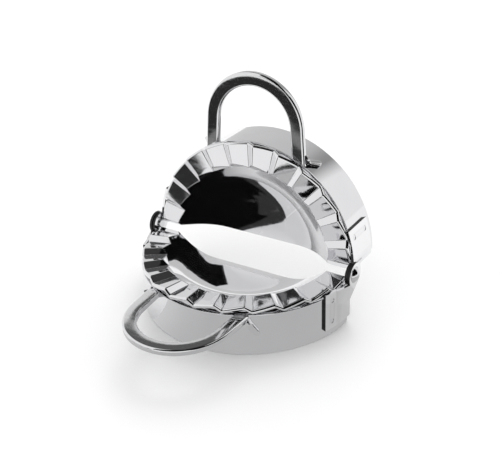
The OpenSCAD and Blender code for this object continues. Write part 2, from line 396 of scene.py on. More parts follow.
@dataclass(frozen=True)
class SteelFinish:
    """A stainless steel with faint polishing lines, haze and brighter worn edges.

    The roughness runs from smooth to hazy. Depths of the bump are in metres, and the scales of the
    patterns are in waves per metre, with the polishing lines drawn out along one direction.
    """

    name: str
    colour: tuple = (0.78, 0.78, 0.79)
    shadow_colour: tuple = (0.72, 0.72, 0.735)
    smooth: float = 0.035
    hazy: float = 0.09
    line_depth: float = 0.0000012
    wave_depth: float = 0.00002
    cloud_scale: float = 70.0
    wave_scale: float = 55.0
    line_scale: tuple = (40.0, 900.0, 900.0)
    line_turn: tuple = (0.3, 0.9, 0.5)
    worn_points: tuple = (0.52, 0.60)
    worn_gain: float = 1.08

    def build(self) -> bpy.types.Material:
        """Makes the material.

        Returns:
            The material, with its colour, roughness and bump from nodes.
        """
        steel = bpy.data.materials.new(self.name)
        steel.use_nodes = True
        steel.node_tree.nodes.clear()
        s = NodeSketch(steel.node_tree)
        out = s.node("ShaderNodeOutputMaterial")
        shader = s.node("ShaderNodeBsdfPrincipled")
        shader.inputs["Metallic"].default_value = 1.0
        s.feed(out.inputs["Surface"], shader.outputs["BSDF"])
        place = s.node("ShaderNodeTexCoord").outputs["Object"]

        # Broad clouds of tone, and the bright bare steel on worn edges
        clouds = s.node("ShaderNodeTexNoise")
        s.feed(clouds.inputs["Vector"], place)
        clouds.inputs["Scale"].default_value = self.cloud_scale
        clouds.inputs["Detail"].default_value = 3.0
        point = s.node("ShaderNodeNewGeometry").outputs["Pointiness"]
        edge = s.remap(point, self.worn_points, (0.0, 1.0))
        tone = s.node("ShaderNodeMix", data_type="RGBA")
        s.feed(tone.inputs["Factor"], clouds.outputs["Fac"])
        tone.inputs["A"].default_value = (*self.shadow_colour, 1)
        tone.inputs["B"].default_value = (*self.colour, 1)
        worn = s.node("ShaderNodeMix", data_type="RGBA")
        s.feed(worn.inputs["Factor"], edge)
        s.feed(worn.inputs["A"], tone.outputs["Result"])
        worn.inputs["B"].default_value = (*(min(1.0, self.worn_gain * c) for c in self.colour), 1)
        s.feed(shader.inputs["Base Color"], worn.outputs["Result"])

        # Haze of fine wiping marks in the roughness
        haze = s.node("ShaderNodeTexNoise")
        stretched = s.node("ShaderNodeMapping")
        s.feed(stretched.inputs["Vector"], place)
        stretched.inputs["Rotation"].default_value = self.line_turn
        stretched.inputs["Scale"].default_value = self.line_scale
        s.feed(haze.inputs["Vector"], stretched.outputs["Vector"])
        haze.inputs["Scale"].default_value = 1.0
        haze.inputs["Detail"].default_value = 4.0
        dull = s.remap(haze.outputs["Fac"], (0.35, 0.75), (self.smooth, self.hazy))
        s.feed(shader.inputs["Roughness"], dull)

        # Slow waves of the pressed sheet and hair-fine polishing lines in the bump
        waves = s.node("ShaderNodeTexNoise")
        s.feed(waves.inputs["Vector"], place)
        waves.inputs["Scale"].default_value = self.wave_scale
        waves.inputs["Detail"].default_value = 1.0
        slow = s.node("ShaderNodeBump")
        slow.inputs["Strength"].default_value = 1.0
        slow.inputs["Distance"].default_value = self.wave_depth
        s.feed(slow.inputs["Height"], waves.outputs["Fac"])
        fine = s.node("ShaderNodeBump")
        fine.inputs["Strength"].default_value = 1.0
        fine.inputs["Distance"].default_value = self.line_depth
        s.feed(fine.inputs["Height"], haze.outputs["Fac"])
        s.feed(fine.inputs["Normal"], slow.outputs["Normal"])
        s.feed(shader.inputs["Normal"], fine.outputs["Normal"])
        return steel


@dataclass
class Finishes:
    """The finishes of the press, and the material that was made for each."""

    polished: SteelFinish = SteelFinish("polished_sheet")
    bar: SteelFinish = SteelFinish(
        "polished_bar", colour=(0.76, 0.76, 0.77), shadow_colour=(0.69, 0.69, 0.70), smooth=0.05, hazy=0.12
    )
    # Painted shade: a near-black steel that stands for the shadowed gaps along the strap ends and the ear
    # edges.
    painted_gap_shade: SteelFinish = SteelFinish(
        "painted_gap_shade_steel", colour=(0.04, 0.04, 0.04), shadow_colour=(0.02, 0.02, 0.02), smooth=0.4, hazy=0.6
    )
    rivet: SteelFinish = SteelFinish(
        "polished_rivet", colour=(0.74, 0.74, 0.75), shadow_colour=(0.66, 0.66, 0.67), smooth=0.05, hazy=0.14
    )
    made: dict = field(default_factory=dict)

    def get(self, finish: SteelFinish) -> bpy.types.Material:
        """Gives the material of a finish, made once.

        Args:
            finish: the finish.

        Returns:
            Its material.
        """
        if finish.name not in self.made:
            self.made[finish.name] = finish.build()
        return self.made[finish.name]


# ---------------------------------------------------------------- pieces of the press


@dataclass
class PleatedPlate:
    """The stamped plate: half bowl, sloping flank and the pleated half-round rim with its lip.

    Sizes are in millimetres and degrees. The pleats are pressed in by a wave that follows the turn
    round the rim, and the step at their inner edge leans outwards where a pleat is high.
    """

    rim_r: float = 47.5
    rim_w: float = 9.4
    low_z: float = 21.5
    plate_t: float = 0.8
    pleats: int = 12
    pleat_h: float = 2.0
    drop_share: float = 0.26
    ridge_rounding: float = 0.18
    step_w: float = 1.0
    low_step_w: float = 0.15
    step_angle: float = 46.5
    shift_kept_to: float = 1.3
    shift_fades_over: float = 2.7
    floor_z: float = 13.7
    flank_angle: float = 36.0
    bowl_curve: float = 25.7
    end_gap: float = END_GAP
    corner_blend: float = 0.2
    edge_r: float = 1.02
    lip_h: float = 1.5
    lip_round: float = 0.12
    lip_corner: float = 0.2
    strip: float = 0.12
    under_strip: float = 0.15

    def over_step(self, along: np.ndarray, shift: float, level: float, foot: float) -> list:
        """Follows the flank, the climbing step and the rim, and rounds the corners between them.

        Args:
            along: distances along the section: below 0 is the flank, 0 to 1 the step, above 1 the rim.
            shift: how far outside the inner edge of the rim the flank ends.
            level: the height where the flank ends.
            foot: the width of the step where a pleat is low.

        Returns:
            (radius, height, share of the pleat height, share of the outward shift, 0) of each point.
        """
        inner, slope = self.rim_r - self.rim_w - self.step_w + shift, math.tan(math.radians(self.flank_angle))
        rows = []
        for v in along:
            window = v + np.linspace(-self.corner_blend, self.corner_blend, 9)
            share = np.clip(window, 0, 1)
            radius = inner + np.minimum(window, 0) + foot * share + np.maximum(window - 1, 0)
            height = level + np.minimum(window, 0) * slope
            fade = share - np.clip((window - self.shift_kept_to) / self.shift_fades_over, 0, 1)
            rows.append((radius.mean(), height.mean(), share.mean(), fade.mean(), 0))
        return rows

    def rows(self) -> list:
        """Lists the section of the plate with its pleats laid flat at their low level.

        Returns:
            (radius, height, share of the pleat height, share of the outward shift, share of the way from
            the floor's edge to the cut) of each point, once round the section.
        """
        slope = math.radians(self.flank_angle)
        curve, t = self.bowl_curve, self.plate_t
        top_r = self.rim_r - self.rim_w - self.step_w
        fall = self.low_z - self.floor_z - curve * (1 - math.cos(slope))
        floor_r = top_r - fall / math.tan(slope) - curve * math.sin(slope)
        bend = [slope * i / 14 for i in range(15)]
        on_flank = [-2.4, -1.6, -0.9, -0.5]
        on_step = np.arange(-0.3, 1.31, 0.08)
        on_rim = [1.5, 1.9, 2.6, 3.4, 4.4]
        along = np.concatenate([on_flank, on_step, on_rim])
        upper = [(floor_r, self.floor_z, 0, 0, way) for way in (1, 0.6, 0.25)]
        upper += [
            (floor_r + curve * math.sin(a), self.floor_z + curve * (1 - math.cos(a)), 0, 0, 0) for a in bend
        ]
        upper += self.over_step(along, 0.0, self.low_z, self.low_step_w)
        lip = [(radius, height, 1, 0, 0) for radius, height in self.lip()]
        near = t * math.tan(slope / 2)
        far = self.low_step_w + t * math.tan(math.radians(self.step_angle) / 2)
        under = self.over_step(along[along > -1.0][::-1], near, self.low_z - t, far - near)
        under += [
            (
                floor_r + (curve + t) * math.sin(a),
                self.floor_z + curve * (1 - math.cos(a)) - t * math.cos(a),
                0,
                0,
                0,
            )
            for a in reversed(bend)
        ]
        under += [(floor_r, self.floor_z - t, 0, 0, way) for way in (0.25, 0.6, 1)]
        return upper + lip + under

    def lip(self) -> list:
        """Lists the section of the rounded outer edge and the lip, round its foot and up inside.

        Returns:
            (radius, height) of each point.
        """
        edge_r, turn, corner, t = self.edge_r, self.lip_round, self.lip_corner, self.plate_t
        outer = self.rim_r + edge_r
        inner, foot, under = outer - t, self.low_z - self.lip_h, self.low_z - t
        points = [(self.rim_r - self.strip, self.low_z)]
        points += [
            (self.rim_r + edge_r * math.sin(a), self.low_z - edge_r * (1 - math.cos(a)))
            for a in np.radians(np.linspace(0, 90, 13))
        ]
        points += [(outer, foot + turn), (outer - turn * 0.3, foot + turn * 0.3), (outer - turn, foot)]
        points += [(inner + turn, foot), (inner, foot + turn), (inner, under - corner)]
        points += [(inner - corner, under), (inner - corner - self.under_strip, under)]
        return points

    def turns(self) -> np.ndarray:
        """Lists the angles of the columns, closer together at the two edges of each drop.

        Returns:
            The angles in degrees, from 0 to 180.
        """
        half = self.drop_share / 2
        near = np.array([-0.11, -0.075, -0.05, -0.03, -0.015, 0, 0.015, 0.03, 0.05, 0.08, 0.14])
        steps = np.concatenate([[0], half + near[near > -half], [0.5], 1 - half - near[::-1]])
        steps = np.unique(np.round(steps[(steps >= 0) & (steps < 1)], 5))
        pitch = 180 / self.pleats
        return np.concatenate([(k + steps) * pitch for k in range(self.pleats)] + [[180.0]])

    def host(self) -> bpy.types.Mesh:
        """Builds the plate with flat pleats, with each point's turn and share of the pleats.

        Returns:
            The host mesh in metres, in the flat frame.
        """
        rows, angles = self.rows(), self.turns()
        pitch = 180 / self.pleats
        points = np.zeros((len(angles), len(rows), 3))
        for j, (radius, height, _, _, way) in enumerate(rows):
            squeezed = np.radians(ends_at(self.end_gap, angles, radius, pitch))
            x, y = radius * np.cos(squeezed), -radius * np.sin(squeezed)
            points[:, j, 0] = x
            points[:, j, 1] = y * (1 - way) - self.end_gap * way
            points[:, j, 2] = height
        mesh = bpy.data.meshes.new("plate_host")
        faces = loop_skin(len(angles), len(rows))
        mesh.from_pydata([tuple(p) for p in points.reshape(-1, 3) * MM], [], faces)
        shares = np.tile([r[2] for r in rows], len(angles))
        shifts = np.tile([r[3] for r in rows], len(angles))
        turned = np.repeat(angles / 180, len(rows))
        for name, values in (("pleat_share", shares), ("pleat_shift", shifts), ("turn", turned)):
            mesh.attributes.new(name, "FLOAT", "POINT").data.foreach_set("value", values.astype(np.float32))
        return mesh

    def recipe(self, material: bpy.types.Material) -> GeometryRecipe:
        """Builds the tree that presses the pleats into the rim.

        Args:
            material: the plate's material.

        Returns:
            The tree.
        """
        g = GeometryRecipe(
            "press_pleats",
            {
                "Pleats": ("NodeSocketFloat", float(self.pleats)),
                "Pleat height": ("NodeSocketFloat", self.pleat_h * MM),
                "Drop share": ("NodeSocketFloat", self.drop_share),
                "Edge rounding": ("NodeSocketFloat", self.ridge_rounding),
                "Step angle": ("NodeSocketFloat", math.radians(self.step_angle)),
                "Material": ("NodeSocketMaterial", material),
            },
        )
        given = g.source.outputs
        u = g.math("FRACT", g.math("MULTIPLY", g.attribute("turn"), given["Pleats"]))
        rise = g.math("DIVIDE", g.math("SUBTRACT", u, 0.5), g.math("SUBTRACT", 1.0, given["Drop share"]))
        last_drop = g.math("DIVIDE", g.math("SUBTRACT", 1.0, u), given["Drop share"])
        first_drop = g.math("DIVIDE", g.math("MULTIPLY", u, -1.0), given["Drop share"])
        ridge = g.math("SMOOTH_MIN", rise, last_drop, given["Edge rounding"])
        wave = g.math("SMOOTH_MAX", first_drop, ridge, given["Edge rounding"])
        lift = g.math("MULTIPLY", g.math("SUBTRACT", 0.5, wave), given["Pleat height"])
        where = g.node("ShaderNodeSeparateXYZ")
        g.feed(where.inputs["Vector"], g.node("GeometryNodeInputPosition").outputs["Position"])
        x, y = where.outputs["X"], where.outputs["Y"]
        radius = g.math("SQRT", g.math("ADD", g.math("MULTIPLY", x, x), g.math("MULTIPLY", y, y)))
        shift = g.math("DIVIDE", g.math("MULTIPLY", lift, g.attribute("pleat_shift")), radius)
        shift = g.math("DIVIDE", shift, g.math("TANGENT", given["Step angle"]))
        offset = g.node("ShaderNodeCombineXYZ")
        g.feed(offset.inputs["X"], g.math("MULTIPLY", shift, x))
        g.feed(offset.inputs["Y"], g.math("MULTIPLY", shift, y))
        g.feed(offset.inputs["Z"], g.math("MULTIPLY", lift, g.attribute("pleat_share")))
        pressed = g.node("GeometryNodeSetPosition")
        g.feed(pressed.inputs["Geometry"], given["Geometry"])
        g.feed(pressed.inputs["Offset"], offset.outputs["Vector"])
        g.finish_with(pressed.outputs["Geometry"])
        return g

    def build(self, half: Half, fold: Fold, finishes: Finishes) -> bpy.types.Object:
        """Makes the plate of one half and dresses it.

        Args:
            half: the half.
            fold: where the halves stand.
            finishes: the finishes.

        Returns:
            The plate.
        """
        material = finishes.get(finishes.polished)
        mesh = self.recipe(material).made_from(self.host())
        mesh.transform(Matrix.Scale(1 / MM, 4))
        mend(mesh, 1e-4)
        for name in ("pleat_share", "pleat_shift", "turn"):
            mesh.attributes.remove(mesh.attributes[name])
        shade(mesh, sharp_angle=40)
        piece = show(f"pleated_plate_{half.value}", mesh, fold.place(half))
        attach(piece, half.value)
        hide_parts(f"{half.value}_press_plate")
        return piece


@dataclass
class CutterBand:
    """The half-round cutter wall, flush with the lip of the plate, with a flange stepped in behind it.

    Sizes are in millimetres and degrees. A narrow strip beside each rounded edge keeps the shading of
    the wall between them flat.
    """

    wall_r: float = WALL_R
    wall_t: float = 0.8
    wall_top: float = 19.6
    top_round: float = 0.2
    flange_r: float = 46.6
    flange_z: float = 20.68
    cut_edge: float = 0.12
    strip: float = 0.12
    end_gap: float = END_GAP
    end_reach: float = 8
    step_angle: float = 1.25

    def section(self) -> np.ndarray:
        """Lists the section of the wall.

        Returns:
            (radius, height) of each point, once round the section.
        """
        edge, strip, top, turn = self.cut_edge, self.strip, self.wall_top, self.top_round
        outer, low, inner = self.wall_r, self.wall_r - self.wall_t, self.flange_r - self.wall_t
        points = [(low + edge, 0), (outer - edge, 0), (outer - edge * 0.3, edge * 0.3), (outer, edge)]
        points += [(outer, edge + strip), (outer, top - turn - strip), (outer, top - turn)]
        points += [(outer - turn * 0.3, top - turn * 0.3), (outer - turn, top)]
        points += [(self.flange_r, top), (self.flange_r, self.flange_z)]
        points += [(inner, self.flange_z), (inner, top - self.wall_t), (low, top - self.wall_t)]
        points += [(low, edge + strip), (low, edge), (low + edge * 0.3, edge * 0.3)]
        return np.array(points)

    def build(self, half: Half, fold: Fold, finishes: Finishes) -> bpy.types.Object:
        """Makes the wall of one half and dresses it.

        Args:
            half: the half.
            fold: where the halves stand.
            finishes: the finishes.

        Returns:
            The wall.
        """
        section = self.section()
        angles = np.linspace(0, 180, int(180 / self.step_angle) + 1)
        points = np.zeros((len(angles), len(section), 3))
        for j, (radius, height) in enumerate(section):
            squeezed = np.radians(ends_at(self.end_gap, angles, radius, self.end_reach))
            points[:, j, 0] = radius * np.cos(squeezed)
            points[:, j, 1] = -radius * np.sin(squeezed)
            points[:, j, 2] = height
        mesh = closed_mesh("wall", points.reshape(-1, 3), loop_skin(len(angles), len(section)))
        mesh.materials.append(finishes.get(finishes.polished))
        piece = show(f"cutter_band_{half.value}", mesh, fold.place(half))
        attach(piece, half.value)
        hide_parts(f"{half.value}_cutter_wall")
        return piece


@dataclass
class BentHandle:
    """The flat bar bent into a U, with its two feet turned down on the wall, in millimetres and degrees."""

    handle_r: float = 23.5
    reach: float = 79.0
    splay: float = 4.0
    bar_w: float = 6.0
    bar_t: float = 3.0
    bar_edge: float = 0.9
    bar_z: float = 19.6
    wall_r: float = WALL_R
    into_wall: float = 4
    foot_w: float = 2.6
    foot_len: float = 7.8
    foot_lean: float = 35.0
    foot_t: float = 1.6
    foot_inset: float = 2.0
    foot_bend_r: float = 2.2
    foot_edge: float = 0.4
    into_face: float = 0.1
    weld_gap: float = 0.02

    def leg_way(self) -> np.ndarray:
        """Gives the direction of the right leg towards the wall, in plan.

        Returns:
            The direction, one long.
        """
        lean = math.radians(self.splay)
        return np.array([math.sin(lean), math.cos(lean)])

    def wall_hit(self, start: np.ndarray, radius: float) -> float:
        """Gives the distance from a point along the right leg to a cylinder about the hinge's middle.

        Args:
            start: the point in plan.
            radius: the cylinder's radius.

        Returns:
            The distance.
        """
        along = float(start @ self.leg_way())
        return -along - math.sqrt(along * along - float(start @ start) + radius * radius)

    def path(self) -> bpy.types.Mesh:
        """Builds the middle line of the bar, which starts and ends inside the wall.

        Returns:
            A mesh of edges in metres, with the side of each end.
        """
        middle, arc_y = self.handle_r - self.bar_w / 2, self.reach - self.handle_r
        turns = np.radians(np.linspace(-self.splay, self.splay - 180, 73))
        bend = [(middle * math.cos(a), middle * math.sin(a) - arc_y) for a in turns]
        start = np.array(bend[0])
        way = self.leg_way()
        end = start + (self.wall_hit(start, self.wall_r) + self.into_wall) * way
        leg = [tuple(start + (end - start) * share) for share in (1, 0.6, 0.3)]
        plan = leg + bend + [(-x, y) for x, y in reversed(leg)]
        height = self.bar_z - self.bar_t / 2
        mesh = bpy.data.meshes.new("bar_path")
        edges = [(i, i + 1) for i in range(len(plan) - 1)]
        mesh.from_pydata([(x * MM, y * MM, height * MM) for x, y in plan], edges, [])
        sides = np.zeros(len(plan), np.float32)
        sides[0], sides[-1] = 1, -1
        mesh.attributes.new("leg_end", "FLOAT", "POINT").data.foreach_set("value", sides)
        return mesh

    def recipe(self, material: bpy.types.Material) -> GeometryRecipe:
        """Builds the tree that sweeps the rounded bar along its path and fits its ends to the wall.

        Args:
            material: the handle's material.

        Returns:
            The tree.
        """
        g = GeometryRecipe(
            "sweep_bar",
            {
                "Bar width": ("NodeSocketFloat", self.bar_w * MM),
                "Bar thickness": ("NodeSocketFloat", self.bar_t * MM),
                "Edge radius": ("NodeSocketFloat", self.bar_edge * MM),
                "Leg lean": ("NodeSocketFloat", math.radians(self.splay)),
                "Wall radius": ("NodeSocketFloat", (self.wall_r + self.weld_gap) * MM),
                "Material": ("NodeSocketMaterial", material),
            },
        )
        given = g.source.outputs
        line = g.node("GeometryNodeMeshToCurve")
        g.feed(line.inputs["Mesh"], given["Geometry"])
        upright = g.node("GeometryNodeSetCurveNormal", mode="Z_UP")
        g.feed(upright.inputs["Curve"], line.outputs["Curve"])
        section = g.node("GeometryNodeCurvePrimitiveQuadrilateral", mode="RECTANGLE")
        g.feed(section.inputs["Width"], given["Bar width"])
        g.feed(section.inputs["Height"], given["Bar thickness"])
        soft = g.node("GeometryNodeFilletCurve", mode="POLY")
        g.feed(soft.inputs["Curve"], section.outputs["Curve"])
        g.feed(soft.inputs["Radius"], given["Edge radius"])
        g.feed(soft.inputs["Count"], 7)
        swept = g.node("GeometryNodeCurveToMesh")
        g.feed(swept.inputs["Curve"], upright.outputs["Curve"])
        g.feed(swept.inputs["Profile Curve"], soft.outputs["Curve"])
        swept.inputs["Fill Caps"].default_value = True
        g.finish_with(self.fitted(g, swept.outputs["Mesh"]))
        return g

    def fitted(self, g: GeometryRecipe, mesh: bpy.types.NodeSocket) -> bpy.types.NodeSocket:
        """Adds the nodes that slide each end point along its leg until it meets the wall.

        Args:
            g: the tree.
            mesh: the swept bar.

        Returns:
            The fitted bar.
        """
        given = g.source.outputs
        end = g.attribute("leg_end")
        where = g.node("ShaderNodeSeparateXYZ")
        g.feed(where.inputs["Vector"], g.node("GeometryNodeInputPosition").outputs["Position"])
        x, y = where.outputs["X"], where.outputs["Y"]
        way_x = g.math("MULTIPLY", end, g.math("SINE", given["Leg lean"]))
        way_y = g.math("COSINE", given["Leg lean"])
        along = g.math("ADD", g.math("MULTIPLY", x, way_x), g.math("MULTIPLY", y, way_y))
        square = g.math("ADD", g.math("MULTIPLY", x, x), g.math("MULTIPLY", y, y))
        less = g.math("MULTIPLY", square, -1.0)
        room = g.math("MULTIPLY_ADD", given["Wall radius"], given["Wall radius"], less)
        root = g.math("SQRT", g.math("MULTIPLY_ADD", along, along, room))
        slide = g.math("MULTIPLY", g.math("ADD", along, root), -1.0)
        offset = g.node("ShaderNodeCombineXYZ")
        g.feed(offset.inputs["X"], g.math("MULTIPLY", slide, way_x))
        g.feed(offset.inputs["Y"], g.math("MULTIPLY", slide, way_y))
        chosen = g.math("GREATER_THAN", g.math("ABSOLUTE", end), 0.5)
        moved = g.node("GeometryNodeSetPosition")
        g.feed(moved.inputs["Geometry"], mesh)
        g.feed(moved.inputs["Selection"], chosen)
        g.feed(moved.inputs["Offset"], offset.outputs["Vector"])
        return moved.outputs["Geometry"]

    def foot(self) -> bpy.types.Mesh:
        """Builds the right foot: a narrow leaning tab on the wall that bends up into the leg.

        Returns:
            The foot's mesh in millimetres.
        """
        leg_out = np.array([self.handle_r, 0.0])
        lean = math.radians(self.splay)
        turn = np.array([[math.cos(lean), math.sin(lean)], [-math.sin(lean), math.cos(lean)]])
        start = turn @ leg_out - np.array([0, self.reach - self.handle_r])
        end = start + self.wall_hit(start, self.wall_r + 0.1) * self.leg_way()
        angle = math.atan2(-end[1], end[0] - self.foot_inset)
        half_t = self.bar_t / 2
        bend = half_t + self.foot_bend_r
        stations = np.concatenate(
            [
                np.linspace(0.3, half_t, 3),
                bend - self.foot_bend_r * np.cos(np.radians(np.linspace(0, 90, 9)))[1:],
                np.linspace(bend + 0.6, self.foot_len, 5),
                self.foot_len + self.foot_w / 2 * np.sin(np.radians(np.linspace(10, 89, 9))),
            ]
        )
        rings = []
        for u in stations:
            half_w = self.foot_w / 2
            if u > self.foot_len:
                half_w = math.sqrt(max(1e-4, half_w**2 - (u - self.foot_len) ** 2))
            depth = self.foot_t
            if u < bend:
                inside = max(0.0, self.foot_bend_r**2 - (bend - max(u, half_t)) ** 2)
                depth += self.foot_bend_r - math.sqrt(inside)
            soft = min(self.foot_edge, half_w * 0.95)
            fall = self.foot_edge if u < self.foot_len else self.foot_edge * (1 + 0.6 * (u - self.foot_len))
            across = [(-half_w, -self.into_face)]
            for a in np.radians(np.linspace(0, 90, 6)):
                across.append((-half_w + soft * (1 - math.cos(a)), depth - fall * (1 - math.sin(a))))
            across += [(-v, d) for v, d in reversed(across)]
            rings.append([self.on_wall(v, u, d, angle) for v, d in across])
        points = np.array(rings)
        return closed_mesh("foot", points.reshape(-1, 3), loop_skin(*points.shape[:2]), sharp_angle=50)

    def on_wall(self, across: float, down: float, out: float, angle: float) -> tuple:
        """Places a point of a foot on the wall.

        Args:
            across: its place across the foot.
            down: its place along the foot, from the middle of the bar.
            out: its distance outside the wall.
            angle: the angle of the foot round the wall, in plan.

        Returns:
            The point in the flat frame.
        """
        lean = math.radians(self.foot_lean)
        side = across * math.cos(lean) + down * math.sin(lean)
        up = across * math.sin(lean) - down * math.cos(lean)
        radius = self.wall_r + out
        ahead = math.sqrt(radius * radius - side * side)
        x = ahead * math.cos(angle) + side * math.sin(angle)
        y = -ahead * math.sin(angle) + side * math.cos(angle)
        return (x, y, self.bar_z - self.bar_t / 2 + up)

    def build(self, half: Half, fold: Fold, finishes: Finishes) -> bpy.types.Object:
        """Makes the handle of one half and dresses it.

        Args:
            half: the half.
            fold: where the halves stand.
            finishes: the finishes.

        Returns:
            The handle.
        """
        material = finishes.get(finishes.bar)
        bar = self.recipe(material).made_from(self.path())
        bar.transform(Matrix.Scale(1 / MM, 4))
        right = self.foot()
        left = right.copy()
        left.transform(Matrix.Scale(-1, 4, (1, 0, 0)))
        left.flip_normals()
        mesh = joined([bar, right, left], "handle")
        mend(mesh)
        mesh.materials.clear()
        mesh.materials.append(material)
        for polygon in mesh.polygons:
            polygon.material_index = 0
        shade(mesh, sharp_angle=40)
        piece = show(f"handle_{half.value}_bar", mesh, fold.place(half))
        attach(piece, half.value)
        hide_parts(f"{half.value}_handle")
        return piece


@dataclass
class DomedRivet:
    """A hinge rivet: shank, domed head outside and closed end inside, in millimetres."""

    hinge_z: float = HINGE_Z
    shank_from: float = 48.0
    tail_h: float = 0.8
    tail_r: float = 2.1
    tail_soft: float = 0.25
    shank_r: float = 1.5
    head_x: float = 51.5
    head_r: float = 3.7
    head_h: float = 1.8
    steps: int = 96

    def profile(self) -> list:
        """Lists the half section of the rivet.

        Returns:
            (radius, distance along the axis) of each point, from the inner pole to the outer pole.
        """
        dome = (self.head_r**2 + self.head_h**2) / (2 * self.head_h)
        full = math.asin(self.head_r / dome)
        soft, near, far = self.tail_soft, self.shank_from, self.shank_from + self.tail_h
        points = [(0, near), (self.tail_r - soft, near), (self.tail_r - 0.07, near + 0.07)]
        points += [(self.tail_r, near + soft), (self.tail_r, far - 0.1), (self.tail_r - 0.1, far)]
        points += [(self.shank_r, far), (self.shank_r, self.head_x), (self.head_r - 0.08, self.head_x)]
        points += [(self.head_r - 0.005, self.head_x + 0.03)]
        for a in np.linspace(full * 0.985, 0, 15):
            points.append((dome * math.sin(a), self.head_x + self.head_h - dome * (1 - math.cos(a))))
        return points

    def build(self, side: Side, fold: Fold, finishes: Finishes) -> bpy.types.Object:
        """Makes one rivet and dresses it.

        Args:
            side: the end of the hinge.
            fold: where the halves stand.
            finishes: the finishes.

        Returns:
            The rivet.
        """
        profile = self.profile()
        around = np.linspace(0, 2 * math.pi, self.steps, endpoint=False)
        points = [
            (x * side.value, r * math.cos(a), self.hinge_z + r * math.sin(a))
            for a in around
            for r, x in profile
        ]
        rows = len(profile)
        faces = []
        for c in range(self.steps):
            here, there = c * rows, (c + 1) % self.steps * rows
            faces += [(here + r, here + r + 1, there + r + 1, there + r) for r in range(rows - 1)]
        mesh = closed_mesh("rivet", np.array(points), faces, sharp_angle=30)
        mesh.materials.append(finishes.get(finishes.rivet))
        name = side.name.lower()
        piece = show(f"hinge_rivet_{name}", mesh, fold.place(Half.LOWER))
        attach(piece, Half.LOWER.value)
        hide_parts(f"rivet_{name}")
        return piece


@dataclass
class HingeStraps:
    """The four hinge straps, which keep their own meshes.

    Their sheared edges get painted shade, near black for the shadowed gaps there: the far ends, past an
    angle from the hinge line in degrees, and the round edges of the ears, which lie between two distances
    from the hinge line in millimetres. A face of an end has little of its normal outwards or up, and a
    face of an edge has most of it outwards.
    """

    far_end: float = 15.0
    hinge_z: float = HINGE_Z
    ear_reach: tuple = (4.6, 5.6)
    little: float = 0.4
    most: float = 0.9

    def dress(self, nodes: dict, fold: Fold, finishes: Finishes) -> list:
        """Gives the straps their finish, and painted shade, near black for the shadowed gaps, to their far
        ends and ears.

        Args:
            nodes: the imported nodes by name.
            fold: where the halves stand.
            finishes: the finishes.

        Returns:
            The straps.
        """
        straps = []
        for half in Half:
            flat = fold.place(half).inverted()
            for side in Side:
                strap = nodes[f"{half.value}_strap_{side.name.lower()}"]
                for place in strap.material_slots:
                    place.material = finishes.get(finishes.polished)
                # Painted shade: the last slot turns the strap ends and ear edges near black, where their gaps
                # lie in shadow.
                strap.data.materials.append(finishes.get(finishes.painted_gap_shade))
                for polygon in strap.data.polygons:
                    centre, normal = flat @ polygon.center, (flat.to_3x3() @ polygon.normal).normalized()
                    if self.at_far_end(centre, normal) or self.on_ear_edge(centre, normal):
                        polygon.material_index = len(strap.data.materials) - 1
                straps.append(strap)
        return straps

    def at_far_end(self, centre: Vector, normal: Vector) -> bool:
        """Tells whether a face is the sheared end of a strap, away from the hinge.

        Args:
            centre: the face's centre in the flat frame.
            normal: its normal there.

        Returns:
            True for a sheared end.
        """
        outward = Vector((centre.x, centre.y, 0)).normalized()
        away = math.degrees(math.asin(min(1.0, abs(outward.y))))
        return away > self.far_end and max(abs(normal.dot(outward)), abs(normal.z)) < self.little

    def on_ear_edge(self, centre: Vector, normal: Vector) -> bool:
        """Tells whether a face is on the sheared round edge of an ear.

        Args:
            centre: the face's centre in the flat frame.
            normal: its normal there.

        Returns:
            True for the edge of an ear.
        """
        outward = Vector((0, centre.y, centre.z - self.hinge_z))
        near, far = self.ear_reach
        return near < outward.length < far and normal.dot(outward.normalized()) > self.most


# ---------------------------------------------------------------- studio


@dataclass(frozen=True)
class Flag:
    """A cloth hung round the press, which shows in its polish only.

    It hangs on a ball about the press, at a distance in metres. Its lower hem is given by points of
    azimuth, in degrees from the front towards +X, and elevation. Its upper hem is one elevation. Its
    brightness is given by points of azimuth and level, where 1 is white. Its mesh has a column for at
    least each so many degrees, and each column has the same number of rows.
    """

    name: str
    hem: tuple
    top: float
    distance: float
    levels: tuple
    centre: tuple = (0.0, 0.0, 0.04)
    rows: int = 16
    column: float = 3.0

    def mesh(self) -> bpy.types.Mesh:
        """Builds the cloth.

        Returns:
            Its mesh.
        """
        hem_turns, hem_rises = zip(*self.hem)
        turns = np.unique(np.concatenate([np.arange(hem_turns[0], hem_turns[-1], self.column), hem_turns]))
        rows = self.rows
        points, faces = [], []
        for turn, foot in zip(np.radians(turns), np.interp(turns, hem_turns, hem_rises)):
            for rise in np.radians(np.linspace(foot, self.top, rows)):
                flat = math.cos(rise)
                way = Vector((math.sin(turn) * flat, -math.cos(turn) * flat, math.sin(rise)))
                points.append(Vector(self.centre) + way * self.distance)
        for c in range(len(turns) - 1):
            for r in range(rows - 1):
                here, there = c * rows + r, (c + 1) * rows + r
                faces.append((here, there, there + 1, here + 1))
        mesh = bpy.data.meshes.new(self.name)
        mesh.from_pydata([tuple(p) for p in points], [], faces)
        shades = np.repeat(np.interp(turns, *zip(*self.levels)), rows)
        mesh.attributes.new("shade", "FLOAT", "POINT").data.foreach_set("value", shades.astype(np.float32))
        return mesh

    def build(self) -> bpy.types.Object:
        """Hangs the cloth.

        Returns:
            The cloth.
        """
        return hung_cloth(self.name, self.mesh())


